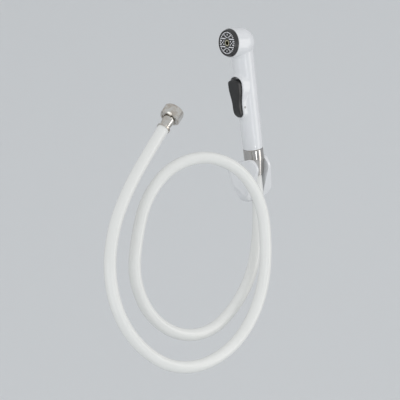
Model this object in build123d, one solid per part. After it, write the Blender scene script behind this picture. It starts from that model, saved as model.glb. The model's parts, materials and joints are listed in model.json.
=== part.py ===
from build123d import *
import math
import os

# Handheld bidet shower: white handset with a black thumb lever, held in a wall holder,
# with a white hose that ends in a G1/2 nut. Millimetres. The wall is the plane y = 0,
# the room is on the -Y side and +Z is up. The origin is the centre of the holder's back.

# Hose
HOSE_D = 14.0
HOSE_BORE = 9.0
BARB_FIT = 0.06
BARB_WALL = 1.3
BARB_LENGTH = 21.0

# Where the foot of the cone nut stands in front of the wall, how far the handset leans out
# and how far it is turned about its own axis in the holder
NUT_FOOT_AWAY = 17.0
NUT_FOOT_Z = 5.5
LEAN = 16.05
TURN = -3.2

# Cone nut, in the handset's own frame: its axis is Z and its foot is at height 0
NUT_LENGTH = 32.1
NUT_R = 12.0
NUT_FOOT_R = 8.7
NUT_STRAIGHT = 11.1
THREAD_R = 10.45
THREAD_FIT = 0.05
HOSE_SEAT_Z = 13.5
FLANGE_R = 9.2
FLANGE_THICK = 2.0
WASHER_THICK = 2.5
FLANGE_FIT = 0.2

# Handset shell. A rise is measured up from the foot of the handle
HANDLE_GAP = 0.2
HANDLE_FOOT_R = 11.5
HANDLE_R = 13.1
HANDLE_FLARE_R = 13.8
HANDLE_FLARE = 17.0
HANDLE_EDGE = 0.7
SHELL_BORE_R = 9.2
SHELL_BORE_RISE = 105.7
HEAD_RISE = 128.7
HEAD_R = 17.2
SPRAY_TILT = 9.5
DOME_SHIFT = 2.2
BARREL_END = 17.2
BARREL_EDGE = 0.4
CHAMBER_R = 13.3
CHAMBER_BACK = -3.0
SKIRT_R = 14.4
SKIRT_DEPTH = 5.5
NECK_ROUND = 2.0

# Spray face, measured along the spray axis from the head's centre
BEZEL_R = 16.45
BEZEL_DEPTH = 4.4
BEZEL_FRONT_R = 15.1
BEZEL_LIP_R = 13.5
BEZEL_LIP = 0.5
PLATE_R = 13.8
PLATE_THICK = 2.0
MAT_THICK = 1.0
BACKING_THICK = 1.5
SEAL_THICK = 1.5
NOZZLE_R = 0.75
NOZZLE_PROUD = 0.25
NOZZLE_FIT = 0.03
RING_NOZZLES = 32
RING_R = 12.2
CENTRE_R = 3.7
CENTRE_BORE_R = 2.5
CENTRE_STEM_R = 3.0
CENTRE_LENGTH = 9.0

# Thumb lever, its pivot pin and the collar that surrounds it
LEVER_RISE = 47.7
LEVER_LOW_R = 6.0
LEVER_TO_WAIST = 11.0
LEVER_WAIST = 5.9
LEVER_WAIST_TO_SHOULDER = 13.0
LEVER_SHOULDER = 8.7
LEVER_WAIST_TO_WIDE = 24.0
LEVER_WIDE = 9.5
LEVER_CROWN = 4.5
LEVER_FACE_X = -19.6
LEVER_WALL = 1.9
LEVER_ROUND = 1.6
LEVER_TOE_DROP = 3.2
LEVER_BEHIND_PIN = 2.6
LEVER_GAP = 0.5
LEVER_HEADROOM = 3.2
COLLAR_WALL = 2.1
COLLAR_X = -14.4
COLLAR_EDGE = 1.3
COLLAR_BLEND = 3.0
POCKET_X = -7.2
POCKET_FLOOR = 2.0
PIN_X = -11.9
PIN_ABOVE_LOW = 6.3
PIN_R = 1.5
PIN_FIT = 0.05
PIN_BOSS_R = 3.0
NUB_R = 2.6

# Valve across the handle behind the lever, on an axis along X
VALVE_ABOVE_PIN = 20.7
VALVE_R = 9.0
VALVE_HEIGHT = 20.0
VALVE_FLAT_GAP = 0.2
PLUNGER_R = 2.0
PLUNGER_TIP_X = -12.1
PLUNGER_FIT = 0.05
FLOOR_HOLE_R = 2.6
SEAT_X = 0.4
SEAT_R = 3.2
DISC_R = 4.2
DISC_THICK = 1.0
SPRING_CHAMBER_R = 4.8
SPRING_R = 3.4
SPRING_WIRE = 0.6
SPRING_TURNS = 3.5
PLUG_X = 7.2
ORING_X = -3.6
ORING_WIRE = 1.4

# Water way
TUBE_R = 4.0
TUBE_WALL = 1.25
TUBE_FIT = 0.05
TUBE_SOCKET = 4.0
INLET_RISE = 27.3
INLET_BORE_R = 5.5
INLET_FLANGE_R = 9.15
FILTER_THICK = 1.0
FILTER_RINGS = ((1.6, 6), (3.2, 12), (4.6, 18))

# Wall holder
HOLDER_HALF = 26.0
HOLDER_TOP = 25.5
HOLDER_FOOT = -24.3
HOLDER_DEPTH = 34.0
HOLDER_WALL = 2.8
HOLDER_SIDE = 2.5
HOLDER_ROUND = 1.0
LIP_ROUND = 0.6
CUP_FIT = 0.15
CUP_WALL = 3.0
SLOT_HALF = 8.0
SCREW_SPACING = 28.0
SCREW_HOLE_R = 2.25
SCREW_HEAD_R = 4.6
SCREW_WEB = 3.5

# Free end of the hose, measured along its own axis from the hose's end
COLLAR_R = 7.9
COLLAR_OVER = 1.4
COLLAR_PLATE = 0.9
NECK_WAIST_R = 6.2
NECK_R = 7.3
END_NUT_FOOT = 13.8
END_NUT_LENGTH = 14.0
END_NUT_FLATS = 22.9
END_NUT_CORNER_R = 12.4
END_NUT_SKIRT = 1.2
END_NUT_SKIRT_R = 9.2
END_NUT_FLOOR = 1.8
END_NUT_CHAMFER = 0.8
SWIVEL_FIT = 0.08
END_THREAD_R = 9.75
END_FLANGE_THICK = 1.5
END_WASHER_R = 9.3
END_WASHER_BORE_R = 5.6
END_WASHER_THICK = 2.0
END_WASHER_FIT = 0.15
END_CLEAR = 0.03

# Route of the hose from the cone nut to the free end. The first run goes straight down the
# handset's axis, so both of its ends are worked out and the list starts after them.
HOSE_DROP = 44.0
HOSE_FIRST_BEND = 66.0
HOSE_POINTS = [
    (-20.5, -9, -69),
    (-51, -13, -106),
    (-89, -12, -133),
    (-134, -11, -148),
    (-179, -10, -136),
    (-210, -11, -101),
    (-216, -14, -54),
    (-195, -17, -11),
    (-170, -21, 25),
    (-132, -32, 50),
    (-85, -44, 49),
    (-47, -50, 20),
    (-31, -48, -26),
    (-41, -45, -72),
    (-57, -41, -112),
    (-86, -36, -148),
    (-127, -32, -171),
    (-175, -30, -176),
    (-219, -28, -160),
    (-249, -27, -123),
    (-261, -27, -81),
    (-254, -27, -35),
    (-231, -27, 6),
    (-198, -27, 39),
    (-161, -28, 67),
    (-122.5, -29, 93),
]

BOTTOM = (Align.CENTER, Align.CENTER, Align.MIN)
LEFT = (Align.MAX, Align.CENTER, Align.CENTER)
BEYOND = 200.0

HANDLE_FOOT = NUT_LENGTH + HANDLE_GAP
HEAD_Z = HANDLE_FOOT + HEAD_RISE
SHELL_BORE_TOP = HANDLE_FOOT + SHELL_BORE_RISE
INLET_TOP = HANDLE_FOOT + INLET_RISE
LEVER_LOW_Z = HANDLE_FOOT + LEVER_RISE
LEVER_WAIST_Z = LEVER_LOW_Z + LEVER_TO_WAIST
LEVER_SHOULDER_Z = LEVER_WAIST_Z + LEVER_WAIST_TO_SHOULDER
LEVER_WIDE_Z = LEVER_WAIST_Z + LEVER_WAIST_TO_WIDE
LEVER_TOP = LEVER_WIDE_Z + LEVER_CROWN
PIN_Z = LEVER_LOW_Z + PIN_ABOVE_LOW
VALVE_Z = PIN_Z + VALVE_ABOVE_PIN
FACE_END = BARREL_END + BEZEL_DEPTH

CUP = Pos(0, -NUT_FOOT_AWAY, NUT_FOOT_Z) * Rot(LEAN, 0, 0)
HANDSET = CUP * Rot(0, 0, TURN)
HEAD = Pos(0, 0, HEAD_Z) * Rot(0, SPRAY_TILT - 90, 0)


def rod(radius, start, end):
    """Cylinder on the Z axis between two heights."""
    return Pos(0, 0, start) * Cylinder(radius, end - start, align=BOTTOM)


def tube(outer, inner, start, end):
    """Straight tube on the Z axis between two heights."""
    return rod(outer, start, end) - rod(inner, start - 1, end + 1)


def turned(points):
    """Solid turned about the Z axis from an outline of (radius, height) points."""
    return revolve(make_face(Plane.XZ * Polyline(*points, close=True)), Axis.Z)


def cross_rod(radius, start, end, height):
    """Cylinder along X between two places, at a height on the handset's axis."""
    return Pos(0, 0, height) * Rot(0, 90, 0) * rod(radius, start, end)


def hoop(radius, wire):
    """Round sealing ring on the Z axis."""
    return Torus(radius, wire / 2)


def lever_outline(grow, top):
    """Outline of the lever seen from the front, grown all round, with its upper end at top."""
    low = LEVER_LOW_R + grow
    wide = LEVER_WIDE + grow
    flank = [
        (low, LEVER_LOW_Z),
        (LEVER_WAIST + grow, LEVER_WAIST_Z),
        (LEVER_SHOULDER + grow, LEVER_SHOULDER_Z),
        (wide, LEVER_WIDE_Z),
    ]
    right = Spline(*flank, tangents=((0, 1), (0, 1)))
    left = mirror(right, Plane.YZ)
    foot = CenterArc((0, LEVER_LOW_Z), low, 180, 180)
    head = EllipticalCenterArc((0, LEVER_WIDE_Z), wide, top - LEVER_WIDE_Z, start_angle=0, arc_size=180)
    return make_face(right + left + foot + head)


def lever_slab(grow, top, start, end):
    """The lever's outline as a slab between two places along X."""
    return extrude(Plane.YZ.offset(start) * lever_outline(grow, top), amount=end - start)


def pivot_rod(radius, half_length):
    """Cylinder along Y on the lever's pivot."""
    bar = Rot(90, 0, 0) * Cylinder(radius, 2 * half_length)
    return Pos(PIN_X, 0, PIN_Z) * bar


# Handset shell

def collar_half_width():
    """Half of the collar's width at the pivot pin."""
    section = Pos(0, 0, PIN_Z) * Box(100, 100, 0.1)
    return (lever_slab(LEVER_GAP + COLLAR_WALL, LEVER_TOP, 0, 1) & section).bounding_box().max.Y


def handset_outside():
    """Outer form of the one-piece shell: tapered handle, head and lever collar."""
    middle = (HANDLE_FOOT + HEAD_Z) / 2
    flank = Spline(
        (HANDLE_FOOT_R, HANDLE_FOOT),
        (HANDLE_FOOT_R + 0.5 * (HANDLE_R - HANDLE_FOOT_R), middle - 10),
        (HANDLE_R, HEAD_Z - HANDLE_FLARE),
        (HANDLE_FLARE_R, HEAD_Z),
        tangents=((0.05, 1), (0.1, 1)),
    )
    foot = (HANDLE_FOOT_R, HANDLE_FOOT)
    close = Polyline((HANDLE_FLARE_R, HEAD_Z), (0, HEAD_Z), (0, HANDLE_FOOT), foot)
    handle = revolve(make_face(Plane.XZ * (flank + close)), Axis.Z)
    handle = fillet(handle.edges().group_by(Axis.Z)[0], HANDLE_EDGE)
    dome = HEAD * Pos(0, 0, DOME_SHIFT) * Sphere(HEAD_R)
    barrel = rod(HEAD_R, DOME_SHIFT, BARREL_END)
    barrel = HEAD * fillet(barrel.edges().group_by(Axis.Z)[-1], BARREL_EDGE)
    shell = handle + (dome + barrel)
    neck = shell.edges().filter_by(lambda e: HEAD_Z - HEAD_R - 4 < e.center().Z < HEAD_Z - 4)
    shell = fillet(neck, NECK_ROUND)
    collar_top = LEVER_TOP + LEVER_HEADROOM + COLLAR_WALL
    collar = lever_slab(LEVER_GAP + COLLAR_WALL, collar_top, COLLAR_X, 0)
    collar = fillet(collar.faces().sort_by(Axis.X)[0].edges(), COLLAR_EDGE)
    whole = shell + collar
    low = LEVER_LOW_Z - LEVER_LOW_R - LEVER_GAP - COLLAR_WALL - 1
    seam = whole.edges().filter_by(lambda e: low < (e @ 0.5).Z < collar_top + 1 and (e @ 0.5).X < 0)
    return fillet(seam.filter_by(lambda e: shell.distance_to(e @ 0.5) < 0.01), COLLAR_BLEND)


def handset_body():
    """One white moulding: handle, head and lever collar, with its bore and pocket."""
    shell = handset_outside()
    bore = rod(SHELL_BORE_R, HANDLE_FOOT - 1, SHELL_BORE_TOP)
    pad_height = LEVER_TOP - LEVER_LOW_Z + 2 * LEVER_LOW_R + 10
    pad_x = POCKET_X + POCKET_FLOOR
    pad = Box(40, 60, pad_height, align=LEFT)
    pad = Pos(pad_x, 0, (LEVER_TOP + LEVER_LOW_Z) / 2) * pad
    shell -= bore - pad
    shell -= lever_slab(LEVER_GAP, LEVER_TOP + LEVER_HEADROOM, COLLAR_X - 5, POCKET_X)
    shell -= cross_rod(FLOOR_HOLE_R, POCKET_X - 1, pad_x + 1, VALVE_Z)
    shell -= pivot_rod(PIN_R, 30)
    shell -= HEAD * rod(CHAMBER_R, CHAMBER_BACK, BARREL_END + HEAD_R)
    shell -= HEAD * rod(SKIRT_R, BARREL_END - SKIRT_DEPTH, BARREL_END + HEAD_R)
    shell -= rod(TUBE_R + TUBE_FIT, SHELL_BORE_TOP - 1, SHELL_BORE_TOP + TUBE_SOCKET)
    shell -= rod(TUBE_R - TUBE_WALL, SHELL_BORE_TOP, HEAD_Z - CHAMBER_R + 3)
    return shell


# Spray face

def spray_bezel():
    inner = PLATE_R + NOZZLE_FIT
    skirt = SKIRT_R - 0.1
    return turned([
        (CHAMBER_R, BARREL_END - SKIRT_DEPTH + 0.2),
        (skirt, BARREL_END - SKIRT_DEPTH + 0.2),
        (skirt, BARREL_END),
        (BEZEL_R, BARREL_END),
        (BEZEL_R - 0.05, BARREL_END + 0.9),
        (BEZEL_FRONT_R, FACE_END - 0.3),
        (BEZEL_FRONT_R - 0.4, FACE_END),
        (BEZEL_LIP_R, FACE_END),
        (BEZEL_LIP_R, FACE_END - BEZEL_LIP),
        (inner, FACE_END - BEZEL_LIP),
        (inner, BARREL_END - 1.5),
        (CHAMBER_R, BARREL_END - 2.2),
    ])


def nozzle_places():
    """Centres of the spray nozzles: an outer ring and a mirrored inner pattern."""
    angles = [2 * math.pi * i / RING_NOZZLES for i in range(RING_NOZZLES)]
    ring = [(RING_R * math.cos(angle), RING_R * math.sin(angle)) for angle in angles]
    chevron = [(6.3, 1.6), (7.5, 3.5), (8.8, 5.4)]
    bar = [(4.7, 3.9), (4.7, 5.7), (4.7, 7.5), (4.7, 9.3)]
    cross = [(0, 8.0), (1.9, 5.7), (1.9, 10.2)]
    places = set(ring)
    for up, across in [(9.4, 0)] + chevron + bar + cross:
        for side in (1, -1):
            places.add((up, side * across))
            places.add((-up, side * across))
    return sorted(places)


NOZZLES = nozzle_places()
PLATE_END = FACE_END - BEZEL_LIP
MAT_END = PLATE_END - PLATE_THICK
BACKING_END = MAT_END - MAT_THICK
SEAL_END = BACKING_END - BACKING_THICK


def spray_plate():
    plate = rod(PLATE_R, MAT_END, PLATE_END)
    holes = [Pos(x, y, 0) * rod(NOZZLE_R + NOZZLE_FIT, MAT_END - 1, PLATE_END + 1) for x, y in NOZZLES]
    return plate - holes - rod(CENTRE_R + NOZZLE_FIT, MAT_END - 1, PLATE_END + 1)


def nozzle_mat():
    mat = tube(PLATE_R, CENTRE_STEM_R + 0.2, BACKING_END, MAT_END)
    pegs = [Pos(x, y, 0) * rod(NOZZLE_R, BACKING_END, PLATE_END + NOZZLE_PROUD) for x, y in NOZZLES]
    return mat + pegs


def face_backing():
    """Disc behind the nozzle mat that spreads the water."""
    disc = tube(CHAMBER_R - 0.1, CENTRE_STEM_R + NOZZLE_FIT, SEAL_END, BACKING_END)
    holes = PolarLocations(CHAMBER_R * 0.62, 12) * Cylinder(1.2, 60)
    return disc - holes


def face_seal():
    return tube(CHAMBER_R - 0.1, CHAMBER_R - 2.2, SEAL_END - SEAL_THICK, SEAL_END)


def centre_nozzle():
    """Brass nozzle that clamps the face at its centre."""
    top = PLATE_END + 0.1
    head = rod(CENTRE_R, MAT_END, top)
    stem = rod(CENTRE_STEM_R, top - CENTRE_LENGTH, MAT_END)
    return head + stem - rod(CENTRE_BORE_R, top - CENTRE_LENGTH - 1, top + 1)


def centre_clip():
    """Spring clip that holds the centre nozzle behind the backing disc."""
    end = SEAL_END
    clip = tube(CENTRE_STEM_R + 2.2, CENTRE_STEM_R, end - 1.0, end)
    return clip - Pos(CENTRE_STEM_R + 1, 0, end) * Box(4, 1.6, 4)


# Thumb lever

def trigger_lever():
    blank = lever_slab(0, LEVER_TOP, LEVER_FACE_X, POCKET_X)
    foot = LEVER_LOW_Z - LEVER_LOW_R - 0.5
    toe = (LEVER_FACE_X + LEVER_TOE_DROP, foot)
    bend = (LEVER_FACE_X, LEVER_LOW_Z + LEVER_LOW_R)
    nose = ThreePointArc(bend, (LEVER_FACE_X + 0.28 * LEVER_TOE_DROP, LEVER_LOW_Z), toe)
    back = Polyline(
        toe,
        (PIN_X + LEVER_BEHIND_PIN, foot),
        (PIN_X + LEVER_BEHIND_PIN, PIN_Z + 1),
        (PIN_X, LEVER_TOP + 1),
        (LEVER_FACE_X, LEVER_TOP + 1),
        bend,
    )
    lever = blank & extrude(Plane.XZ * make_face(nose + back), amount=40, both=True)
    front = lever.faces().sort_by(Axis.X)[:2]
    rim = front[0].edges() + front[1].edges()
    rim = rim.filter_by(lambda edge: sum(edge.is_same(other) for other in rim) == 1)
    lever = fillet(rim, LEVER_ROUND)
    hollow = lever_slab(-LEVER_WALL, LEVER_TOP - LEVER_WALL, LEVER_FACE_X + LEVER_WALL + 0.6, 0)
    hollow -= Pos(0, 0, PIN_Z) * Box(60, 60, 2 * PIN_BOSS_R)
    lever -= hollow
    ball_x = PLUNGER_TIP_X - PLUNGER_FIT - NUB_R
    lever += cross_rod(NUB_R, LEVER_FACE_X + LEVER_WALL, ball_x, VALVE_Z)
    lever += Pos(ball_x, 0, VALVE_Z) * Sphere(NUB_R)
    return lever - pivot_rod(PIN_R + PIN_FIT, 30)


def trigger_pin():
    return pivot_rod(PIN_R, collar_half_width())


# Valve

def valve_body():
    bottom = VALVE_Z - VALVE_HEIGHT / 2
    top = VALVE_Z + VALVE_HEIGHT / 2
    flat = POCKET_X + POCKET_FLOOR + VALVE_FLAT_GAP
    body = rod(VALVE_R, bottom, top)
    body -= Pos(flat, 0, VALVE_Z) * Box(20, 40, 40, align=LEFT)
    body -= cross_rod(PLUNGER_R + PLUNGER_FIT, -20, SEAT_X, VALVE_Z)
    body -= cross_rod(PLUNGER_R + ORING_WIRE, ORING_X - ORING_WIRE / 2, ORING_X + ORING_WIRE / 2, VALVE_Z)
    body -= cross_rod(SEAT_R, SEAT_X - 0.8, SEAT_X, VALVE_Z)
    body -= cross_rod(DISC_R, SEAT_X - 2.6, SEAT_X - 0.8, VALVE_Z)
    body -= cross_rod(SPRING_CHAMBER_R, SEAT_X, 20, VALVE_Z)
    outlet_x = SEAT_X - 1.7
    body -= Pos(outlet_x, 0, 0) * rod(0.8, VALVE_Z + DISC_R - 0.6, top)
    body -= rod(TUBE_R + TUBE_FIT, top - TUBE_SOCKET, top + 1)
    body -= rod(TUBE_R + TUBE_FIT, bottom - 1, bottom + TUBE_SOCKET - 1)
    inlet_x = SEAT_X + 2.2
    return body - Pos(inlet_x, 0, 0) * rod(1.4, bottom, VALVE_Z - SPRING_CHAMBER_R + 0.8)


def valve_plunger():
    rod_part = cross_rod(PLUNGER_R, PLUNGER_TIP_X, SEAT_X + DISC_THICK, VALVE_Z)
    head = cross_rod(DISC_R, SEAT_X + DISC_THICK, SEAT_X + DISC_THICK + 0.8, VALVE_Z)
    tail = cross_rod(SPRING_R - 1.2, SEAT_X + DISC_THICK, SEAT_X + DISC_THICK + 2.2, VALVE_Z)
    return rod_part + head + tail


def valve_disc():
    """Rubber disc on the plunger that closes the seat."""
    start = SEAT_X + 0.02
    disc = cross_rod(DISC_R, start, SEAT_X + DISC_THICK, VALVE_Z)
    return disc - cross_rod(PLUNGER_R, start - 1, SEAT_X + 2, VALVE_Z)


def valve_spring():
    start = SEAT_X + DISC_THICK + 0.8 + SPRING_WIRE / 2 + 0.05
    end = PLUG_X - SPRING_WIRE / 2 - 0.05
    height = end - start
    path = Helix(pitch=height / SPRING_TURNS, height=height, radius=SPRING_R)
    wire = Plane(origin=path @ 0, z_dir=path % 0) * Circle(SPRING_WIRE / 2)
    coil = sweep(wire, path=path)
    return Pos(start, 0, VALVE_Z) * Rot(0, 90, 0) * coil


def valve_plug():
    """Plug that closes the spring chamber."""
    plug = cross_rod(SPRING_CHAMBER_R - 0.05, PLUG_X, VALVE_R - 0.3, VALVE_Z)
    plug &= rod(VALVE_R, 0, BEYOND)
    return plug - cross_rod(1.5, VALVE_R - 1.2, VALVE_R + 1, VALVE_Z)


def valve_oring():
    ring = hoop(PLUNGER_R + PLUNGER_FIT + ORING_WIRE / 2 - 0.05, ORING_WIRE - 0.1)
    return Pos(ORING_X, 0, VALVE_Z) * Rot(0, 90, 0) * ring


# Water way in the handle

def feed_tube():
    bottom = VALVE_Z - VALVE_HEIGHT / 2
    return tube(TUBE_R, TUBE_R - TUBE_WALL, INLET_TOP - TUBE_SOCKET, bottom + TUBE_SOCKET - 1)


def riser_tube():
    top = VALVE_Z + VALVE_HEIGHT / 2
    return tube(TUBE_R, TUBE_R - TUBE_WALL, top - TUBE_SOCKET, SHELL_BORE_TOP + TUBE_SOCKET)


THREAD_END = HOSE_SEAT_Z + FLANGE_THICK + WASHER_THICK
SEAL_GROOVE_Z = HANDLE_FOOT + 9
SEAL_GROOVE_R = INLET_FLANGE_R - 1.5


def inlet_connector():
    """Brass connector in the foot of the handle, with the male G1/2 thread for the cone nut."""
    body = rod(INLET_FLANGE_R, HANDLE_FOOT - 3, INLET_TOP) + rod(THREAD_R, THREAD_END, HANDLE_FOOT - 0.1)
    body -= rod(INLET_BORE_R, THREAD_END - 1, INLET_TOP - 12)
    body -= rod(TUBE_R - TUBE_WALL, THREAD_END, INLET_TOP + 1)
    body -= rod(TUBE_R + TUBE_FIT, INLET_TOP - TUBE_SOCKET, INLET_TOP + 1)
    body -= rod(FLANGE_R - 1.5, THREAD_END - 1, THREAD_END + FILTER_THICK)
    return body - tube(INLET_FLANGE_R + 1, SEAL_GROOVE_R, SEAL_GROOVE_Z, SEAL_GROOVE_Z + 1.6)


def connector_seal():
    wire = SHELL_BORE_R - SEAL_GROOVE_R - 0.1
    return Pos(0, 0, SEAL_GROOVE_Z + 0.8) * hoop(SEAL_GROOVE_R + 0.05 + wire / 2, wire)


def inlet_filter():
    """Perforated disc that keeps grit out of the valve."""
    disc = rod(FLANGE_R - 1.6, THREAD_END + 0.05, THREAD_END + FILTER_THICK)
    for radius, count in FILTER_RINGS:
        disc -= PolarLocations(radius, count) * Cylinder(0.5, 80)
    return disc


# Hose ends

def cone_nut():
    """Chromed nut that clamps the hose's stem against the handset's thread."""
    straight = NUT_LENGTH - NUT_STRAIGHT
    nut = turned([
        (0, 0),
        (NUT_FOOT_R - 0.4, 0),
        (NUT_FOOT_R, 0.4),
        (NUT_R - 0.15, straight - 2),
        (NUT_R, straight),
        (NUT_R, NUT_LENGTH - 0.4),
        (NUT_R - 0.4, NUT_LENGTH),
        (0, NUT_LENGTH),
    ])
    nut -= rod(HOSE_D / 2 + FLANGE_FIT, -1, HOSE_SEAT_Z + 1)
    nut -= rod(FLANGE_R + FLANGE_FIT, HOSE_SEAT_Z, NUT_LENGTH + 1)
    return nut - rod(THREAD_R + THREAD_FIT, THREAD_END, NUT_LENGTH + 1)


def hose_stem():
    """Barbed stem in the handset's end of the hose."""
    outer = HOSE_BORE / 2 - BARB_FIT
    flange = rod(FLANGE_R, HOSE_SEAT_Z + 0.02, HOSE_SEAT_Z + FLANGE_THICK)
    stem = rod(outer, HOSE_SEAT_Z - BARB_LENGTH, HOSE_SEAT_Z + 1)
    return flange + stem - rod(outer - BARB_WALL, HOSE_SEAT_Z - BARB_LENGTH - 1, HOSE_SEAT_Z + 5)


def inlet_washer():
    start = HOSE_SEAT_Z + FLANGE_THICK
    return tube(FLANGE_R, FLANGE_R - 3.4, start + 0.02, start + WASHER_THICK - 0.02)


HOSE_START = (HANDSET * Pos(0, 0, HOSE_SEAT_Z)).position
HOSE_CORNER = (HANDSET * Pos(0, 0, HOSE_SEAT_Z - HOSE_DROP)).position
HOSE_ROUTE = [tuple(HOSE_START), tuple(HOSE_CORNER)] + HOSE_POINTS
FREE_END = Plane(
    origin=HOSE_ROUTE[-1],
    x_dir=(0, 1, 0),
    z_dir=Vector(*HOSE_ROUTE[-1]) - Vector(*HOSE_ROUTE[-2]),
).location


def bend_radii(points):
    """Largest arc for each corner of the route that its two runs allow."""
    radii = []
    for before, here, after in zip(points, points[1:], points[2:]):
        run_in = Vector(*here) - Vector(*before)
        run_out = Vector(*after) - Vector(*here)
        half_turn = math.radians(run_in.get_angle(run_out) / 2)
        radii.append(0.45 * min(run_in.length, run_out.length) / math.tan(half_turn))
    return radii


def hose():
    radii = bend_radii(HOSE_ROUTE)
    radii[0] = min(radii[0], HOSE_FIRST_BEND)
    path = FilletPolyline(*HOSE_ROUTE, radius=radii)
    start = Vector(*HOSE_ROUTE[1]) - Vector(*HOSE_ROUTE[0])
    section = Plane(origin=HOSE_ROUTE[0], z_dir=start) * (Circle(HOSE_D / 2) - Circle(HOSE_BORE / 2))
    body = sweep(section, path=path)
    area = math.pi * (HOSE_D ** 2 - HOSE_BORE ** 2) / 4
    print("hose radii", [round(radius) for radius in radii])
    print("hose length", round(path.length, 1), "volume ratio", round(body.volume / area / path.length, 6))
    return body


END_SKIRT_TOP = END_NUT_FOOT + END_NUT_SKIRT
END_FLOOR_TOP = END_SKIRT_TOP + END_NUT_FLOOR
END_FLANGE_TOP = END_FLOOR_TOP + SWIVEL_FIT + END_FLANGE_THICK
END_WASHER_TOP = END_FLANGE_TOP + END_CLEAR + END_WASHER_THICK


def end_stem():
    """Stem at the free end: barb, collar round the hose's end, neck and flange."""
    barb = HOSE_BORE / 2 - BARB_FIT
    flange_start = END_FLOOR_TOP + SWIVEL_FIT
    body = turned([
        (0, -BARB_LENGTH),
        (barb - 0.4, -BARB_LENGTH),
        (barb, -BARB_LENGTH + 1.5),
        (barb, 0.02),
        (HOSE_D / 2 + 0.1, 0.02),
        (HOSE_D / 2 + 0.1, -COLLAR_OVER),
        (COLLAR_R, -COLLAR_OVER),
        (COLLAR_R, COLLAR_PLATE),
        (NECK_WAIST_R + 0.3, COLLAR_PLATE + 0.7),
        (NECK_WAIST_R, COLLAR_PLATE + 1.8),
        (NECK_R, END_NUT_FOOT - 0.5),
        (NECK_R, flange_start),
        (FLANGE_R, flange_start),
        (FLANGE_R, END_FLANGE_TOP),
        (0, END_FLANGE_TOP),
    ])
    return body - rod(barb - BARB_WALL, -BARB_LENGTH - 1, END_FLANGE_TOP + 1)


def end_nut():
    """Hexagon nut with rounded corners that swivels on the stem's neck."""
    top = END_NUT_FOOT + END_NUT_LENGTH
    hexagon = RegularPolygon(END_NUT_FLATS / 2, 6, major_radius=False, rotation=20)
    body = Pos(0, 0, END_NUT_FOOT) * extrude(hexagon, amount=END_NUT_LENGTH)
    round_off = turned([
        (0, END_NUT_FOOT),
        (END_NUT_CORNER_R - 1.6, END_NUT_FOOT),
        (END_NUT_CORNER_R, END_NUT_FOOT + 1.6),
        (END_NUT_CORNER_R, top - 1.2),
        (END_NUT_CORNER_R - 1.2, top),
        (0, top),
    ])
    body &= round_off
    body -= rod(END_NUT_SKIRT_R, END_NUT_FOOT - 1, END_SKIRT_TOP)
    body -= rod(NECK_R + SWIVEL_FIT, END_NUT_FOOT, top)
    seat = END_WASHER_R + END_WASHER_FIT
    mouth = END_THREAD_R + END_NUT_CHAMFER
    return body - turned([
        (0, END_FLOOR_TOP),
        (seat, END_FLOOR_TOP),
        (seat, END_WASHER_TOP + END_CLEAR),
        (END_THREAD_R, END_WASHER_TOP + END_CLEAR),
        (END_THREAD_R, top - END_NUT_CHAMFER),
        (mouth, top),
        (mouth, top + 1),
        (0, top + 1),
    ])


def end_washer():
    return tube(END_WASHER_R, END_WASHER_BORE_R, END_FLANGE_TOP + END_CLEAR, END_WASHER_TOP)


# Wall holder

def holder_plan(inset):
    """Outline seen from above, or that of the hollow where inset is the wall."""
    half = HOLDER_HALF - inset
    first = (half, inset)
    side = (half, -HOLDER_SIDE)
    last = (SLOT_HALF + 2.2 - inset, -HOLDER_DEPTH - 3)
    flank = Line(first, side) + Spline(side, (half - 7.4, -HOLDER_DEPTH * 0.56), last)
    ends = Line(first, (-first[0], first[1])) + Line(last, (-last[0], last[1]))
    return make_face(flank + mirror(flank, Plane.YZ) + ends)


def holder_front(inset):
    """Outline seen from the room: straight top, sides that turn into a round foot."""
    half = HOLDER_HALF - inset
    foot = HOLDER_FOOT + inset
    top = HOLDER_TOP - inset
    bend = HOLDER_TOP - 16
    flank = [(half, bend), (half - 1.5, foot + 20), (half - 4.6, foot + 9), (half - 11.5, foot + 2.4)]
    other = [(-x, z) for x, z in reversed(flank)]
    round_foot = Spline(*flank, (0, foot), *other, tangents=((0, -1), (0, 1)))
    return make_face(round_foot + Polyline((-half, bend), (-half, top), (half, top), (half, bend)))


def holder_side(inset):
    """Outline seen from the side: flat top, rounded nose and a slope back to the foot."""
    front = -HOLDER_DEPTH + inset
    top = HOLDER_TOP - inset
    slope_top = (front + 1.9, HOLDER_TOP - 17.5)
    slope_end = (-7.0 + inset, HOLDER_FOOT + 1.2)
    slope_run = (slope_end[0] - slope_top[0], slope_end[1] - slope_top[1])
    nose = Spline(
        (front + 9, top),
        (front + 2.2, top - 4.6),
        (front, HOLDER_TOP - 11),
        slope_top,
        tangents=((-1, 0), slope_run),
    )
    back = Polyline(
        slope_top,
        slope_end,
        (-4.0 + inset, HOLDER_FOOT - 1),
        (inset, HOLDER_FOOT - 1),
        (inset, top),
        (front + 9, top),
    )
    return make_face(nose + back)


def holder_block(inset):
    """The holder's outer form, or its hollow where inset is the wall."""
    upright = extrude(Pos(0, 0, -BEYOND / 2) * holder_plan(inset), amount=BEYOND)
    facing = extrude(Plane.XZ.offset(-BEYOND / 2) * holder_front(inset), amount=BEYOND)
    across = extrude(Plane.YZ.offset(-BEYOND / 2) * holder_side(inset), amount=BEYOND)
    return upright & facing & across


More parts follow.
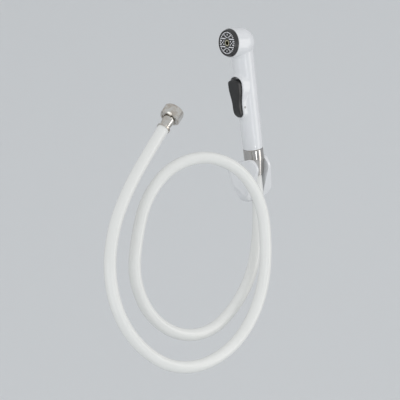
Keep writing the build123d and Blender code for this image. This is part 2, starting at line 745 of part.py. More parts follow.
def wall_holder():
    """One-piece C-shaped holder: back plate, two cheeks and a conical cup with a front slot."""
    body = holder_block(0)
    rim = body.edges().filter_by(lambda e: e.bounding_box().min.Y < -0.8 * HOLDER_SIDE)
    body = fillet(rim - rim.filter_by(Axis.X), HOLDER_ROUND)
    cup_half = NUT_R + CUP_FIT + CUP_WALL
    body -= holder_block(HOLDER_WALL) - Box(2 * cup_half, BEYOND, BEYOND)
    straight = NUT_LENGTH - NUT_STRAIGHT
    bore = turned([
        (0, -CUP_FIT),
        (NUT_FOOT_R + CUP_FIT, -CUP_FIT),
        (NUT_R + CUP_FIT, straight),
        (NUT_R + CUP_FIT, straight + 60),
        (0, straight + 60),
    ])
    slot = Circle(SLOT_HALF) + Rectangle(2 * SLOT_HALF, BEYOND, align=(Align.CENTER, Align.MAX))
    body -= CUP * extrude(slot, amount=BEYOND, both=True)
    body -= CUP * bore
    lips = body.edges().filter_by(lambda e: abs(abs(e.center().X) - SLOT_HALF) < 0.01)
    body = fillet(lips.filter_by(lambda e: e.center().Y < -12 and e.bounding_box().size.X < 0.01), LIP_ROUND)
    for place in (SCREW_SPACING / 2, -SCREW_SPACING / 2):
        hole = Pos(0, 0, place) * Rot(90, 0, 0)
        body -= hole * rod(SCREW_HOLE_R, -1, 40)
        body -= hole * rod(SCREW_HEAD_R, SCREW_WEB, 30)
    return body


NODES = {
    "wall_holder": wall_holder,
    "handset_body": lambda: HANDSET * handset_body(),
    "spray_bezel": lambda: HANDSET * HEAD * spray_bezel(),
    "spray_plate": lambda: HANDSET * HEAD * spray_plate(),
    "nozzle_mat": lambda: HANDSET * HEAD * nozzle_mat(),
    "face_backing": lambda: HANDSET * HEAD * face_backing(),
    "face_seal": lambda: HANDSET * HEAD * face_seal(),
    "centre_nozzle": lambda: HANDSET * HEAD * centre_nozzle(),
    "centre_clip": lambda: HANDSET * HEAD * centre_clip(),
    "trigger_lever": lambda: HANDSET * trigger_lever(),
    "trigger_pin": lambda: HANDSET * trigger_pin(),
    "valve_body": lambda: HANDSET * valve_body(),
    "valve_plunger": lambda: HANDSET * valve_plunger(),
    "valve_disc": lambda: HANDSET * valve_disc(),
    "valve_spring": lambda: HANDSET * valve_spring(),
    "valve_plug": lambda: HANDSET * valve_plug(),
    "valve_oring": lambda: HANDSET * valve_oring(),
    "feed_tube": lambda: HANDSET * feed_tube(),
    "riser_tube": lambda: HANDSET * riser_tube(),
    "inlet_connector": lambda: HANDSET * inlet_connector(),
    "connector_seal": lambda: HANDSET * connector_seal(),
    "inlet_filter": lambda: HANDSET * inlet_filter(),
    "inlet_washer": lambda: HANDSET * inlet_washer(),
    "cone_nut": lambda: HANDSET * cone_nut(),
    "hose_stem": lambda: HANDSET * hose_stem(),
    "hose": hose,
    "end_stem": lambda: FREE_END * end_stem(),
    "end_nut": lambda: FREE_END * end_nut(),
    "end_washer": lambda: FREE_END * end_washer(),
}

os.makedirs("parts", exist_ok=True)
for name, make in NODES.items():
    print("making", name, flush=True)
    export_step(make(), f"parts/{name}.step")
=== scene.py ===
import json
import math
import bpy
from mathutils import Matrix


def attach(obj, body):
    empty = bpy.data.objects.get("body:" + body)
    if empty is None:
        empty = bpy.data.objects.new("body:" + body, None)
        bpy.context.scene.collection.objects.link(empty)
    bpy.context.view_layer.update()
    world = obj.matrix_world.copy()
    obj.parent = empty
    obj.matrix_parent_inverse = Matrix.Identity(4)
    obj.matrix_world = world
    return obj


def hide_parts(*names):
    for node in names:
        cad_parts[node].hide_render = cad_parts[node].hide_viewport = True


bl_info = {
    "name": "Handheld bidet shower",
    "version": (1, 0, 0),
    "blender": (4, 5, 0),
    "location": "View3D > Sidebar > Bidet shower",
    "description": "Dresses the packed bidet shower with its looks, and sets the studio",
    "category": "Object",
}

import bmesh
import bpy
from bpy.props import FloatProperty, FloatVectorProperty, IntProperty, PointerProperty
from mathutils import Matrix, Vector

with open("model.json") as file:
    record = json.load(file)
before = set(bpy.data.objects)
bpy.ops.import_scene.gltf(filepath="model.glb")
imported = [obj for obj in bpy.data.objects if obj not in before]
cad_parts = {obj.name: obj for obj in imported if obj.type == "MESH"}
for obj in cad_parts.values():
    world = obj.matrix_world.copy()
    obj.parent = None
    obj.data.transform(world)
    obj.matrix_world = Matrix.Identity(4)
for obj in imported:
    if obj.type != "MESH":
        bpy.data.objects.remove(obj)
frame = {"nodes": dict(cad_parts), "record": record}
NODES = frame["nodes"]

# Where the handset and its head stand, as in the part's source, with places in metres and turns in degrees
CUP_PLACE = (0, -0.017, 0.0055)
LEAN = 16.05
TWIST = -3.2
HEAD_Z = 0.161
SPRAY_TILT = 9.5
CUP = Matrix.Translation(CUP_PLACE) @ Matrix.Rotation(math.radians(LEAN), 4, "X")
HANDSET = CUP @ Matrix.Rotation(math.radians(TWIST), 4, "Z")
SPRAY = Matrix.Rotation(math.radians(SPRAY_TILT - 90), 4, "Y")
HEAD = HANDSET @ Matrix.Translation((0, 0, HEAD_Z)) @ SPRAY

# Places of the spray nozzles on the face, in millimetres up and across from its centre
NOZZLE_RING = (32, 12.2)
NOZZLE_QUARTER = (
    (9.4, 0), (6.3, 1.6), (7.5, 3.5), (8.8, 5.4), (4.7, 3.9), (4.7, 5.7), (4.7, 7.5), (4.7, 9.3),
    (0, 8.0), (1.9, 5.7), (1.9, 10.2),
)

# Points nearer to each other than this are one point, in metres
SAME_PLACE = 1e-6

# Steeper edges than this stay sharp
SMOOTH_ANGLE = math.radians(35)

# Straight steps in a full turn of a round outline
TURN_STEPS = 64

# Nozzle mat, in metres, with heights along the spray axis from the head's centre
MAT_BACK = 0.0181
MAT_R = 0.0138
MAT_THICK = 0.001
PLATE_FRONT = 0.0211
BORE_DEPTH = 0.0009

# Opening of the mat and bevel of a nozzle's end, as shares of their radii
MAT_OPENING = 0.232
TIP_BEVEL = 0.25

# The flat end of a nozzle is larger than this, in square metres
TIP_AREA = 0.5e-6

# Thread: half the width of its ridge as a share of the pitch, and the share of it that the crest keeps
THREAD_HALF = 0.42
THREAD_CREST = 0.12

# Depths of the bumps, in metres
PLASTIC_BUMP = 0.0002
METAL_BUMP = 0.0001

# Levels of the noise at which a stain starts and is full
STAIN_START = 0.42
STAIN_FULL = 0.72

# Stretch and turn of the rubbing marks on the metals
MARK_STRETCH = (1, 1, 0.08)
MARK_TURN = (0.28, 0.1, 0)

# Directions from the part to the camera, and level to the camera's right
CAMERA_BACK = Vector((-0.6278, -0.7753, 0.0698)).normalized()
CAMERA_LEVEL = Vector((0.7771, -0.6293, 0)).normalized()

# How far the camera is moved to its left and down, in metres
CAMERA_LEFT = 0.0621
CAMERA_DOWN = 0.0046

# Floor and backdrop, in metres, and the turn that brings them to face the camera
CAMERA_SIDE = math.radians(39)
FLOOR_SIZE = 40
FLOOR_Y = -16.5
BACKDROP_EDGE_Y = 3
BACKDROP_HEIGHT = 6
BACKDROP_SWEEP = 2.2
FLOOR_ROUGHNESS = 0.9

# Colour of the light from all round
WORLD_LIGHT = (0.985, 1.0, 1.02, 1)

# Lamps: name, place, point aimed at, width, height and colour
LAMPS = (
    ("key", (1.35, -2.3, 1.7), (0, 0, 0), 1.5, 1.5, (1.0, 0.97, 0.94)),
    ("card", (0.75, -1.02, -0.5), (0, 0, -0.5), 0.5, 1.4, (1.0, 0.965, 0.93)),
    ("fill", (-2.2, -0.7, 0.2), (0, 0, 0), 1.7, 1.7, (0.985, 0.995, 1.0)),
    ("strip", (-0.44, -1.55, -0.5), (0, 0, -0.5), 0.07, 1.4, (0.97, 0.985, 1.0)),
)

# Route of the hose, the same points as in the part's source
HOSE_POINTS = (
    (0, -0.020732, 0.018474),
    (0, -0.008567, -0.023811),
    (-0.0205, -0.009, -0.069),
    (-0.051, -0.013, -0.106),
    (-0.089, -0.012, -0.133),
    (-0.134, -0.011, -0.148),
    (-0.179, -0.010, -0.136),
    (-0.210, -0.011, -0.101),
    (-0.216, -0.014, -0.054),
    (-0.195, -0.017, -0.011),
    (-0.170, -0.021, 0.025),
    (-0.132, -0.032, 0.050),
    (-0.085, -0.044, 0.049),
    (-0.047, -0.050, 0.020),
    (-0.031, -0.048, -0.026),
    (-0.041, -0.045, -0.072),
    (-0.057, -0.041, -0.112),
    (-0.086, -0.036, -0.148),
    (-0.127, -0.032, -0.171),
    (-0.175, -0.030, -0.176),
    (-0.219, -0.028, -0.160),
    (-0.249, -0.027, -0.123),
    (-0.261, -0.027, -0.081),
    (-0.254, -0.027, -0.035),
    (-0.231, -0.027, 0.006),
    (-0.198, -0.027, 0.039),
    (-0.161, -0.028, 0.067),
    (-0.1225, -0.029, 0.093),
)

# The free end stands on the last stretch of the route
FREE_AXIS = Vector(HOSE_POINTS[-1]) - Vector(HOSE_POINTS[-2])
FREE_END = Matrix.Translation(HOSE_POINTS[-1]) @ FREE_AXIS.to_track_quat("Z", "Y").to_matrix().to_4x4()


# Shader node helpers

def new_material(name):
    """Empty material with a Principled BSDF joined to its output."""
    made = bpy.data.materials.new(name)
    made.use_nodes = True
    made.node_tree.nodes.clear()
    output = made.node_tree.nodes.new("ShaderNodeOutputMaterial")
    shader = made.node_tree.nodes.new("ShaderNodeBsdfPrincipled")
    made.node_tree.links.new(shader.outputs["BSDF"], output.inputs["Surface"])
    return made, shader


def assign(piece, made):
    """Gives a piece one material."""
    piece.data.materials.clear()
    piece.data.materials.append(made)


def new_group(name, colours, values):
    """Node group with the given inputs, and with a colour, a roughness and a height as its outputs."""
    group = bpy.data.node_groups.new(name, "ShaderNodeTree")
    sockets = group.interface
    for label, value in colours:
        socket = sockets.new_socket(label, in_out="INPUT", socket_type="NodeSocketColor")
        socket.default_value = value
    for label, value in values:
        socket = sockets.new_socket(label, in_out="INPUT", socket_type="NodeSocketFloat")
        socket.default_value = value
    sockets.new_socket("Colour", in_out="OUTPUT", socket_type="NodeSocketColor")
    sockets.new_socket("Roughness", in_out="OUTPUT", socket_type="NodeSocketFloat")
    sockets.new_socket("Height", in_out="OUTPUT", socket_type="NodeSocketFloat")
    return group


def add_maths(nodes, operation):
    """Maths node with its operation."""
    made = nodes.new("ShaderNodeMath")
    made.operation = operation
    return made


def add_noise(nodes, detail):
    """Noise texture with its detail."""
    made = nodes.new("ShaderNodeTexNoise")
    made.inputs["Detail"].default_value = detail
    return made


def spread_roughness(group, inputs, outputs, pattern):
    """Joins a pattern, times the roughness spread and on top of the roughness, to a group's output."""
    link = group.links.new
    rough = add_maths(group.nodes, "MULTIPLY_ADD")
    link(pattern.outputs[0], rough.inputs[0])
    link(inputs.outputs["Roughness spread"], rough.inputs[1])
    link(inputs.outputs["Roughness"], rough.inputs[2])
    link(rough.outputs[0], outputs.inputs["Roughness"])


def soft_grain_group():
    """Node group: slight mottling and a fine surface grain, shared by the plastics and rubbers."""
    name = "Soft grain"
    if name in bpy.data.node_groups:
        return bpy.data.node_groups[name]
    values = (("Tint", 0.04), ("Patch size", 40.0), ("Grain size", 900.0),
              ("Roughness", 0.3), ("Roughness spread", 0.08))
    group = new_group(name, (("Colour", (0.7, 0.7, 0.7, 1)),), values)
    nodes = group.nodes
    link = group.links.new
    inputs = nodes.new("NodeGroupInput")
    outputs = nodes.new("NodeGroupOutput")
    coordinates = nodes.new("ShaderNodeTexCoord")
    patches = add_noise(nodes, 3)
    grain = add_noise(nodes, 2)
    for noise, size in ((patches, "Patch size"), (grain, "Grain size")):
        link(coordinates.outputs["Object"], noise.inputs["Vector"])
        link(inputs.outputs[size], noise.inputs["Scale"])
    centred = add_maths(nodes, "SUBTRACT")
    centred.inputs[1].default_value = 0.5
    link(patches.outputs["Fac"], centred.inputs[0])
    shade = add_maths(nodes, "MULTIPLY_ADD")
    shade.inputs[2].default_value = 1.0
    link(centred.outputs[0], shade.inputs[0])
    link(inputs.outputs["Tint"], shade.inputs[1])
    tinted = nodes.new("ShaderNodeVectorMath")
    tinted.operation = "SCALE"
    link(inputs.outputs["Colour"], tinted.inputs[0])
    link(shade.outputs[0], tinted.inputs["Scale"])
    link(tinted.outputs[0], outputs.inputs["Colour"])
    spread_roughness(group, inputs, outputs, centred)
    link(grain.outputs["Fac"], outputs.inputs["Height"])
    return group


def worn_metal_group():
    """Node group: stains, smudges and fine rubbing marks on plated and bare metal."""
    name = "Worn metal"
    if name in bpy.data.node_groups:
        return bpy.data.node_groups[name]
    colours = (("Colour", (0.6, 0.6, 0.6, 1)), ("Stain", (0.3, 0.25, 0.2, 1)))
    values = (("Stain amount", 0.3), ("Stain size", 120.0), ("Mark size", 1500.0),
              ("Roughness", 0.2), ("Roughness spread", 0.15))
    group = new_group(name, colours, values)
    nodes = group.nodes
    link = group.links.new
    inputs = nodes.new("NodeGroupInput")
    outputs = nodes.new("NodeGroupOutput")
    coordinates = nodes.new("ShaderNodeTexCoord")
    stains = add_noise(nodes, 4)
    stains.inputs["Distortion"].default_value = 0.6
    link(coordinates.outputs["Object"], stains.inputs["Vector"])
    link(inputs.outputs["Stain size"], stains.inputs["Scale"])
    spread = nodes.new("ShaderNodeMapRange")
    spread.inputs["From Min"].default_value = STAIN_START
    spread.inputs["From Max"].default_value = STAIN_FULL
    link(stains.outputs["Fac"], spread.inputs["Value"])
    amount = add_maths(nodes, "MULTIPLY")
    link(spread.outputs["Result"], amount.inputs[0])
    link(inputs.outputs["Stain amount"], amount.inputs[1])
    mix = nodes.new("ShaderNodeMix")
    mix.data_type = "RGBA"
    link(amount.outputs[0], mix.inputs["Factor"])
    link(inputs.outputs["Colour"], mix.inputs["A"])
    link(inputs.outputs["Stain"], mix.inputs["B"])
    link(mix.outputs["Result"], outputs.inputs["Colour"])
    stretch = nodes.new("ShaderNodeMapping")
    stretch.inputs["Scale"].default_value = MARK_STRETCH
    stretch.inputs["Rotation"].default_value = MARK_TURN
    marks = add_noise(nodes, 2)
    link(coordinates.outputs["Object"], stretch.inputs["Vector"])
    link(stretch.outputs["Vector"], marks.inputs["Vector"])
    link(inputs.outputs["Mark size"], marks.inputs["Scale"])
    together = add_maths(nodes, "MULTIPLY")
    link(marks.outputs["Fac"], together.inputs[0])
    link(stains.outputs["Fac"], together.inputs[1])
    spread_roughness(group, inputs, outputs, together)
    link(marks.outputs["Fac"], outputs.inputs["Height"])
    return group


def finish(name, group, values, bump, depth):
    """Material whose colour, roughness and bump come from a shared node group with its own values."""
    made, shader = new_material(name)
    nodes = made.node_tree.nodes
    link = made.node_tree.links.new
    mix = nodes.new("ShaderNodeGroup")
    mix.node_tree = group
    for label, value in values.items():
        mix.inputs[label].default_value = value
    bumps = nodes.new("ShaderNodeBump")
    bumps.inputs["Strength"].default_value = bump
    bumps.inputs["Distance"].default_value = depth
    link(mix.outputs["Height"], bumps.inputs["Height"])
    link(mix.outputs["Colour"], shader.inputs["Base Color"])
    link(mix.outputs["Roughness"], shader.inputs["Roughness"])
    link(bumps.outputs["Normal"], shader.inputs["Normal"])
    return made, shader


def plastic(name, colour, roughness, tint=0.04, spread=0.08, grain=900.0, bump=0.02, coat=0.0):
    """Moulded plastic, rubber or hose: the shared grain feeds its colour, roughness and bump."""
    values = {
        "Colour": (*colour, 1),
        "Tint": tint,
        "Grain size": grain,
        "Roughness": roughness,
        "Roughness spread": spread,
    }
    made, shader = finish(name, soft_grain_group(), values, bump, PLASTIC_BUMP)
    shader.inputs["Coat Weight"].default_value = coat
    return made


def metal(name, colour, roughness, stain, amount, size=120.0, spread=0.15, bump=0.03):
    """Plated or bare metal: the shared wear feeds its colour, roughness and bump."""
    values = {
        "Colour": (*colour, 1),
        "Stain": (*stain, 1),
        "Stain amount": amount,
        "Stain size": size,
        "Roughness": roughness,
        "Roughness spread": spread,
    }
    made, shader = finish(name, worn_metal_group(), values, bump, METAL_BUMP)
    shader.inputs["Metallic"].default_value = 1
    return made


# Modelling helpers

def clear_selection():
    """Nothing stays selected before a new primitive is added."""
    bpy.ops.object.select_all(action="DESELECT")


def select_only(piece):
    """Makes a piece the active object and the only selected one."""
    clear_selection()
    piece.select_set(True)
    bpy.context.view_layer.objects.active = piece


def pick(kind, test):
    """Selects the faces (kind FACE) or edges (kind EDGE) of the piece in edit mode that pass the test."""
    bpy.ops.mesh.select_mode(type=kind)
    bpy.ops.mesh.select_all(action="DESELECT")
    mesh = bpy.context.object.data
    shape = bmesh.from_edit_mesh(mesh)
    for element in shape.faces if kind == "FACE" else shape.edges:
        element.select_set(test(element))
    bmesh.update_edit_mesh(mesh)


def middle(edge):
    """Middle of an edge."""
    return (edge.verts[0].co + edge.verts[1].co) / 2


def apply_all(piece):
    """Applies every modifier of a piece."""
    select_only(piece)
    for modifier in list(piece.modifiers):
        bpy.ops.object.modifier_apply(modifier=modifier.name)


def settle(piece, place):
    """Puts a piece at a place in the frame and leaves its object at the origin, unturned."""
    select_only(piece)
    piece.matrix_world = place @ piece.matrix_world
    bpy.ops.object.transform_apply(location=True, rotation=True, scale=True)
    bpy.ops.object.mode_set(mode="EDIT")
    bpy.ops.mesh.select_all(action="SELECT")
    bpy.ops.mesh.remove_doubles(threshold=SAME_PLACE)
    bpy.ops.mesh.normals_make_consistent(inside=False)
    bpy.ops.object.mode_set(mode="OBJECT")
    bpy.ops.object.shade_smooth_by_angle(angle=SMOOTH_ANGLE)


class HoseSizes(bpy.types.PropertyGroup):
    """Sizes and colour of the hose."""
    diameter: FloatProperty(name="Diameter", description="Outside diameter of the hose",
                            default=0.014, min=0.006, max=0.03, unit="LENGTH")
    length: FloatProperty(name="Length", description="Length of the hose between its two ends",
                          default=1.2472, min=0.3, max=3.0, unit="LENGTH")
    colour: FloatVectorProperty(name="Colour", description="Colour of the hose",
                                default=(0.73, 0.735, 0.715), min=0, max=1, subtype="COLOR")


class FinishColours(bpy.types.PropertyGroup):
    """Colours of the shell, the lever and the metals."""
    shell: FloatVectorProperty(name="Shell",
                               description="Colour of the handset's body and the wall holder",
                               default=(0.71, 0.72, 0.735), min=0, max=1, subtype="COLOR")
    lever: FloatVectorProperty(name="Lever", description="Colour of the thumb lever",
                               default=(0.014, 0.014, 0.0145), min=0, max=1, subtype="COLOR")
    bezel: FloatVectorProperty(name="Bezel", description="Colour of the ring round the spray face",
                               default=(0.026, 0.026, 0.027), min=0, max=1, subtype="COLOR")
    chrome: FloatVectorProperty(name="Chrome", description="Colour of the cone nut's plating",
                                default=(0.53, 0.515, 0.50), min=0, max=1, subtype="COLOR")
    nickel: FloatVectorProperty(name="Nickel", description="Colour of the plating on the hose's free end",
                                default=(0.62, 0.605, 0.575), min=0, max=1, subtype="COLOR")
    brass: FloatVectorProperty(name="Brass", description="Colour of the ring at the centre of the face",
                               default=(0.62, 0.59, 0.45), min=0, max=1, subtype="COLOR")


class NozzleSizes(bpy.types.PropertyGroup):
    """Sizes of the soft spray nozzles."""
    radius: FloatProperty(name="Radius", description="Outside radius of one nozzle",
                          default=0.00075, min=0.0003, max=0.0009, unit="LENGTH")
    bore: FloatProperty(name="Bore", description="Radius of the hole in one nozzle",
                        default=0.00015, min=0.0001, max=0.0006, unit="LENGTH")
    proud: FloatProperty(name="Proud", description="How far a nozzle stands out of the plate",
                         default=0.00025, min=0, max=0.002, unit="LENGTH")
    colour: FloatVectorProperty(name="Colour", description="Colour of the soft nozzles",
                                default=(0.92, 0.92, 0.95), min=0, max=1, subtype="COLOR")


class ThreadSizes(bpy.types.PropertyGroup):
    """Sizes of the thread inside the end nut."""
    wall: FloatProperty(name="Wall radius", description="Radius of the nut's inner wall",
                        default=0.00977, min=0.005, max=0.02, unit="LENGTH")
    depth: FloatProperty(name="Depth", description="How far the thread stands in from the wall",
                         default=0.00045, min=0.0001, max=0.002, unit="LENGTH")
    pitch: FloatProperty(name="Pitch", description="Rise of the thread in one turn",
                         default=0.001814, min=0.0005, max=0.003, unit="LENGTH")
    turns: IntProperty(name="Turns", description="Number of turns of the thread", default=2, min=1, max=8)
    start: FloatProperty(name="Start",
                         description="Height at which the thread starts, along the hose's end",
                         default=0.0218, min=0, max=0.03, unit="LENGTH")


class StudioSizes(bpy.types.PropertyGroup):
    """Camera, backdrop and light of the studio."""
    distance: FloatProperty(name="Camera distance",
                            description="Distance of the camera from the wall holder",
                            default=2.0, min=0.5, max=6, unit="LENGTH")
    lens: FloatProperty(name="Lens", description="Focal length of the camera, in millimetres",
                        default=150, min=20, max=300, unit="CAMERA")
    roll: FloatProperty(name="Roll", description="Lean of the picture against the upright",
                        default=math.radians(17.5), subtype="ANGLE")
    floor: FloatProperty(name="Floor height", description="Height of the floor under the part",
                         default=-1.25, min=-3, max=-0.2, unit="LENGTH")
    backdrop: FloatVectorProperty(name="Backdrop",
                                  description="Colour of the floor, the backdrop and the surroundings",
                                  default=(0.70, 0.715, 0.725), min=0, max=1, subtype="COLOR")
    ambient: FloatProperty(name="Ambient", description="Strength of the light from all round",
                           default=0.8, min=0, max=2)
    key: FloatProperty(name="Key lamp", description="Power of the large lamp on the right",
                       default=5, min=0, max=200, unit="POWER")
    card: FloatProperty(name="Side card", description="Power of the tall soft card low on the right",
                        default=4.2, min=0, max=100, unit="POWER")
    strip: FloatProperty(name="Strip lamp",
                         description="Power of the narrow lamp that draws the highlights",
                         default=3.4, min=0, max=100, unit="POWER")
    fill: FloatProperty(name="Fill lamp", description="Power of the large weak lamp on the left",
                        default=9, min=0, max=100, unit="POWER")


class BIDET_OT_hose(bpy.types.Operator):
    """Lay the white hose along its route"""
    bl_idname = "bidet.hose"
    bl_label = "Hose"

    def execute(self, context):
        sizes = context.scene.bidet_hose
        line = bpy.data.curves.new("hose_line", "CURVE")
        line.dimensions = "3D"
        line.resolution_u = 16
        line.bevel_depth = sizes.diameter / 2
        line.bevel_resolution = 10
        spline = line.splines.new("NURBS")
        spline.points.add(len(HOSE_POINTS) - 1)
        for point, place in zip(spline.points, HOSE_POINTS):
            point.co = (*place, 1)
        spline.order_u = 3
        spline.use_endpoint_u = True
        piece = bpy.data.objects.new("hose_tube", line)
        context.scene.collection.objects.link(piece)
        assign(piece, plastic("White PVC", sizes.colour, 0.2, grain=500, bump=0.04))
        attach(piece, "base")
        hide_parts("hose")
        return {"FINISHED"}


class BIDET_OT_finishes(bpy.types.Operator):
    """Give each solid of the part its finish"""
    bl_idname = "bidet.finishes"
    bl_label = "Finishes"

    def execute(self, context):
        colours = context.scene.bidet_finishes
        rubber = plastic("Black rubber", (0.02, 0.02, 0.02), 0.6, grain=1500, bump=0.1)
        natural = plastic("Natural plastic", (0.6, 0.6, 0.56), 0.4)
        raw_brass = metal("Raw brass", (0.66, 0.5, 0.24), 0.28, stain=(0.36, 0.2, 0.09), amount=0.5)
        finishes = {
            "white_plastic": plastic("White ABS", colours.shell, 0.13, tint=0.03, spread=0.05, coat=0.2),
            "hose_pvc": natural,
            "black_lever": plastic("Black lever", colours.lever, 0.3, grain=2600, bump=0.12),
            "dark_bezel": plastic("Dark bezel", colours.bezel, 0.22, grain=2000, bump=0.06),
            "black_plate": plastic("Black plate", (0.006, 0.006, 0.007), 0.3, grain=2000, bump=0.06),
            "nozzle_rubber": rubber,
            "seal_rubber": rubber,
            "inner_plastic": natural,
            "centre_brass": metal("Pale brass", colours.brass, 0.24, stain=(0.42, 0.36, 0.2), amount=0.5,
                                  size=400),
            "valve_brass": raw_brass,
            "steel": metal("Steel", (0.36, 0.36, 0.36), 0.4, stain=(0.26, 0.25, 0.24), amount=0.3),
            "chrome": metal("Chrome", colours.chrome, 0.04, stain=(0.33, 0.29, 0.25), amount=0.35, size=60,
                            spread=0.1, bump=0.008),
            "nickel": metal("Nickel", colours.nickel, 0.12, stain=(0.4, 0.32, 0.25), amount=0.7, size=150),
        }
        slots = {part["node"]: part["material_slot"] for part in frame["record"]["subparts"]}
        for name, node in NODES.items():
            assign(node, finishes[slots[name]])
        return {"FINISHED"}


def nozzle_places():
    """Places of all the nozzles in order, in millimetres up and across from the centre of the face."""
    count, radius = NOZZLE_RING
    turns = [math.tau * i / count for i in range(count)]
    places = {(round(radius * math.cos(turn), 6), round(radius * math.sin(turn), 6)) for turn in turns}
    for up, across in NOZZLE_QUARTER:
        places |= {(up, across), (up, -across), (-up, across), (-up, -across)}
    return sorted(places)


def model_tip(sizes):
    """One soft nozzle with its bore, at the centre of the face."""
    height = PLATE_FRONT + sizes.proud - MAT_BACK
    clear_selection()
    bpy.ops.mesh.primitive_cylinder_add(vertices=12, radius=sizes.radius, depth=height,
                                        location=(0, 0, MAT_BACK + height / 2))
    bpy.ops.object.transform_apply(location=True)
    bpy.ops.object.mode_set(mode="EDIT")
    pick("FACE", lambda face: face.normal.z > 0.9)
    bpy.ops.mesh.bevel(offset=sizes.radius * TIP_BEVEL, segments=1, affect="EDGES")
    pick("FACE", lambda face: face.normal.z > 0.9 and face.calc_area() > TIP_AREA)
    bpy.ops.mesh.inset(thickness=sizes.radius * (1 - TIP_BEVEL) - sizes.bore)
    bpy.ops.mesh.extrude_region_move(TRANSFORM_OT_translate={"value": (0, 0, -BORE_DEPTH)})
    bpy.ops.object.mode_set(mode="OBJECT")
    return bpy.context.object


def model_mat():
    """Flat ring that carries the nozzles."""
    clear_selection()
    bpy.ops.mesh.primitive_circle_add(vertices=TURN_STEPS, radius=MAT_R, fill_type="NOTHING",
                                      location=(0, 0, MAT_BACK))
    mat = bpy.context.object
    mat.name = "nozzle_tips"
    bpy.ops.object.mode_set(mode="EDIT")
    pick("EDGE", lambda edge: True)
    bpy.ops.mesh.extrude_edges_move()
    bpy.ops.transform.resize(value=(MAT_OPENING, MAT_OPENING, 1))
    bpy.ops.mesh.select_all(action="SELECT")
    bpy.ops.mesh.normals_make_consistent(inside=False)
    bpy.ops.object.mode_set(mode="OBJECT")
    wall = mat.modifiers.new("thickness", "SOLIDIFY")
    wall.thickness = MAT_THICK
    wall.offset = -1 if mat.data.polygons[0].normal.z < 0 else 1
    apply_all(mat)
    return mat


class BIDET_OT_nozzles(bpy.types.Operator):
    """Model the soft nozzles, each with its bore, and the mat that carries them"""
    bl_idname = "bidet.nozzles"
    bl_label = "Nozzles"

    def execute(self, context):
        sizes = context.scene.bidet_nozzles
        tip = model_tip(sizes)
        tips = [tip]
        first, *others = [(up / 1000, across / 1000, 0) for up, across in nozzle_places()]
        for place in others:
            copy = tip.copy()
            copy.data = tip.data.copy()
            copy.location = place
            context.scene.collection.objects.link(copy)
            tips.append(copy)
        tip.location = first
        mat = model_mat()
        for piece in tips:
            piece.select_set(True)
        context.view_layer.objects.active = mat
        bpy.ops.object.join()
        settle(mat, HEAD)
        assign(mat, plastic("Nozzle rubber", sizes.colour, 0.42, grain=2500, bump=0.05))
        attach(mat, "base")
        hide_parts("nozzle_mat")
        return {"FINISHED"}


class BIDET_OT_thread(bpy.types.Operator):
    """Model the ridge of the thread inside the end nut"""
    bl_idname = "bidet.thread"
    bl_label = "Thread in the end nut"

    def execute(self, context):
        sizes = context.scene.bidet_thread
        half = sizes.pitch * THREAD_HALF
        crest = sizes.wall - sizes.depth
        clear_selection()
        bpy.ops.mesh.primitive_plane_add(size=1, location=(0, 0, 0))
        ridge = context.object
        ridge.name = "nut_thread"
        bpy.ops.object.mode_set(mode="EDIT")
        bpy.ops.transform.rotate(value=math.radians(90), orient_axis="X", center_override=(0, 0, 0))
        bpy.ops.transform.resize(value=(sizes.depth, 1, 2 * half), center_override=(0, 0, 0))
        bpy.ops.transform.translate(value=(sizes.wall - sizes.depth / 2, 0, sizes.start))
        pick("EDGE", lambda edge: abs(middle(edge).x - crest) < SAME_PLACE)
        bpy.ops.transform.resize(value=(1, 1, THREAD_CREST), center_override=(crest, 0, sizes.start))
        bpy.ops.object.mode_set(mode="OBJECT")
        turn = ridge.modifiers.new("turns", "SCREW")
        turn.axis = "Z"
        turn.angle = math.tau
        turn.screw_offset = sizes.pitch
        turn.iterations = sizes.turns
        turn.steps = TURN_STEPS
        turn.render_steps = TURN_STEPS
        apply_all(ridge)
        settle(ridge, FREE_END)
        colour = context.scene.bidet_finishes.nickel
        assign(ridge, metal("Nickel thread", colour, 0.25, stain=(0.4, 0.33, 0.26), amount=0.6, size=300))
        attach(ridge, "end_nut")
        return {"FINISHED"}


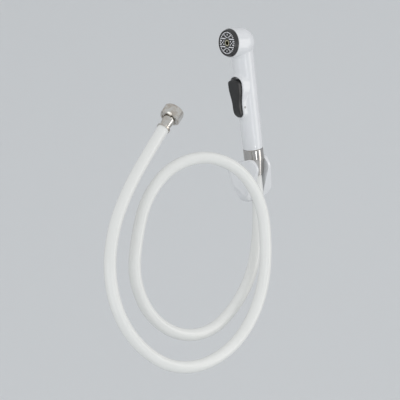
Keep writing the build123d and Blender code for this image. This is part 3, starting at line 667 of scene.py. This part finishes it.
class BIDET_OT_studio(bpy.types.Operator):
    """Set the floor, the backdrop, the lamps and the camera"""
    bl_idname = "bidet.studio"
    bl_label = "Studio"

    def execute(self, context):
        sizes = context.scene.bidet_studio
        self.place_camera(context, sizes)
        self.lay_backdrop(sizes)
        self.light_world(context, sizes)
        self.hang_lamps(context, sizes)
        context.scene.view_settings.view_transform = "Standard"
        return {"FINISHED"}

    def place_camera(self, context, sizes):
        """Camera that sees the part as the photograph does, its picture rolled."""
        upright = CAMERA_BACK.cross(CAMERA_LEVEL)
        turn = sizes.roll
        right = math.cos(turn) * CAMERA_LEVEL - math.sin(turn) * upright
        up = math.sin(turn) * CAMERA_LEVEL + math.cos(turn) * upright
        camera = bpy.data.objects.new("camera", bpy.data.cameras.new("camera"))
        context.scene.collection.objects.link(camera)
        camera.data.lens = sizes.lens
        camera.data.sensor_width = 36
        camera.data.clip_end = 50
        place = CAMERA_BACK * sizes.distance - CAMERA_LEVEL * CAMERA_LEFT - upright * CAMERA_DOWN
        turned = Matrix((right, up, CAMERA_BACK)).transposed().to_4x4()
        camera.matrix_world = Matrix.Translation(place) @ turned
        context.scene.camera = camera

    def lay_backdrop(self, sizes):
        """Floor that sweeps up into a backdrop behind the part."""
        clear_selection()
        bpy.ops.mesh.primitive_plane_add(size=FLOOR_SIZE, location=(0, FLOOR_Y, sizes.floor))
        floor = bpy.context.object
        floor.name = "studio_floor"
        bpy.ops.object.transform_apply(location=True)
        bpy.ops.object.mode_set(mode="EDIT")
        pick("EDGE", lambda edge: middle(edge).y > BACKDROP_EDGE_Y)
        bpy.ops.mesh.extrude_region_move(TRANSFORM_OT_translate={"value": (0, 0, BACKDROP_HEIGHT)})
        pick("EDGE", lambda edge: (middle(edge).y > BACKDROP_EDGE_Y
                                   and abs(middle(edge).z - sizes.floor) < 0.01))
        bpy.ops.mesh.bevel(offset=BACKDROP_SWEEP, segments=24, affect="EDGES")
        bpy.ops.mesh.select_all(action="SELECT")
        bpy.ops.transform.rotate(value=CAMERA_SIDE, orient_axis="Z", center_override=(0, 0, 0))
        bpy.ops.object.mode_set(mode="OBJECT")
        bpy.ops.object.shade_smooth()
        made, shader = new_material("Studio floor")
        shader.inputs["Base Color"].default_value = (*sizes.backdrop, 1)
        shader.inputs["Roughness"].default_value = FLOOR_ROUGHNESS
        assign(floor, made)

    def light_world(self, context, sizes):
        """World that lights softly from all round and shows the backdrop's colour to eye and mirror."""
        world = bpy.data.worlds.new("studio")
        context.scene.world = world
        world.use_nodes = True
        nodes = world.node_tree.nodes
        link = world.node_tree.links.new
        nodes.clear()
        output = nodes.new("ShaderNodeOutputWorld")
        light = nodes.new("ShaderNodeBackground")
        light.inputs["Color"].default_value = WORLD_LIGHT
        light.inputs["Strength"].default_value = sizes.ambient
        seen = nodes.new("ShaderNodeBackground")
        seen.inputs["Color"].default_value = (*sizes.backdrop, 1)
        path = nodes.new("ShaderNodeLightPath")
        glossy = add_maths(nodes, "MAXIMUM")
        either = add_maths(nodes, "MAXIMUM")
        choose = nodes.new("ShaderNodeMixShader")
        link(path.outputs["Is Glossy Ray"], glossy.inputs[0])
        link(path.outputs["Is Transmission Ray"], glossy.inputs[1])
        link(path.outputs["Is Camera Ray"], either.inputs[0])
        link(glossy.outputs[0], either.inputs[1])
        link(either.outputs[0], choose.inputs["Fac"])
        link(light.outputs[0], choose.inputs[1])
        link(seen.outputs[0], choose.inputs[2])
        link(choose.outputs[0], output.inputs["Surface"])

    def hang_lamps(self, context, sizes):
        """Rectangular lamps, each with the power that the studio's sizes give under its name."""
        for name, spot, aim, width, height, colour in LAMPS:
            lamp = bpy.data.objects.new(name, bpy.data.lights.new(name, "AREA"))
            lamp.data.shape = "RECTANGLE"
            lamp.data.size = width
            lamp.data.size_y = height
            lamp.data.energy = getattr(sizes, name)
            lamp.data.color = colour
            lamp.location = spot
            lamp.rotation_euler = (Vector(aim) - Vector(spot)).to_track_quat("-Z", "Y").to_euler()
            context.scene.collection.objects.link(lamp)


class BIDET_PT_panel(bpy.types.Panel):
    """Lists the steps that dress the part"""
    bl_label = "Bidet shower"
    bl_idname = "BIDET_PT_panel"
    bl_space_type = "VIEW_3D"
    bl_region_type = "UI"
    bl_category = "Bidet shower"

    def draw(self, context):
        layout = self.layout
        for step in STEPS:
            layout.operator(step.bl_idname)


STEPS = (BIDET_OT_hose, BIDET_OT_finishes, BIDET_OT_nozzles, BIDET_OT_thread, BIDET_OT_studio)
SETTINGS = {
    "bidet_hose": HoseSizes,
    "bidet_finishes": FinishColours,
    "bidet_nozzles": NozzleSizes,
    "bidet_thread": ThreadSizes,
    "bidet_studio": StudioSizes,
}
CLASSES = (*SETTINGS.values(), *STEPS, BIDET_PT_panel)


def register():
    for made in CLASSES:
        bpy.utils.register_class(made)
    for name, group in SETTINGS.items():
        setattr(bpy.types.Scene, name, PointerProperty(type=group))


def unregister():
    for name in SETTINGS:
        delattr(bpy.types.Scene, name)
    for made in reversed(CLASSES):
        bpy.utils.unregister_class(made)


def main():
    """Runs every step in order."""
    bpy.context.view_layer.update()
    register()
    bpy.ops.bidet.studio()
    bpy.ops.bidet.hose()
    bpy.ops.bidet.finishes()
    bpy.ops.bidet.nozzles()
    bpy.ops.bidet.thread()


if __name__ == "__main__":
    main()
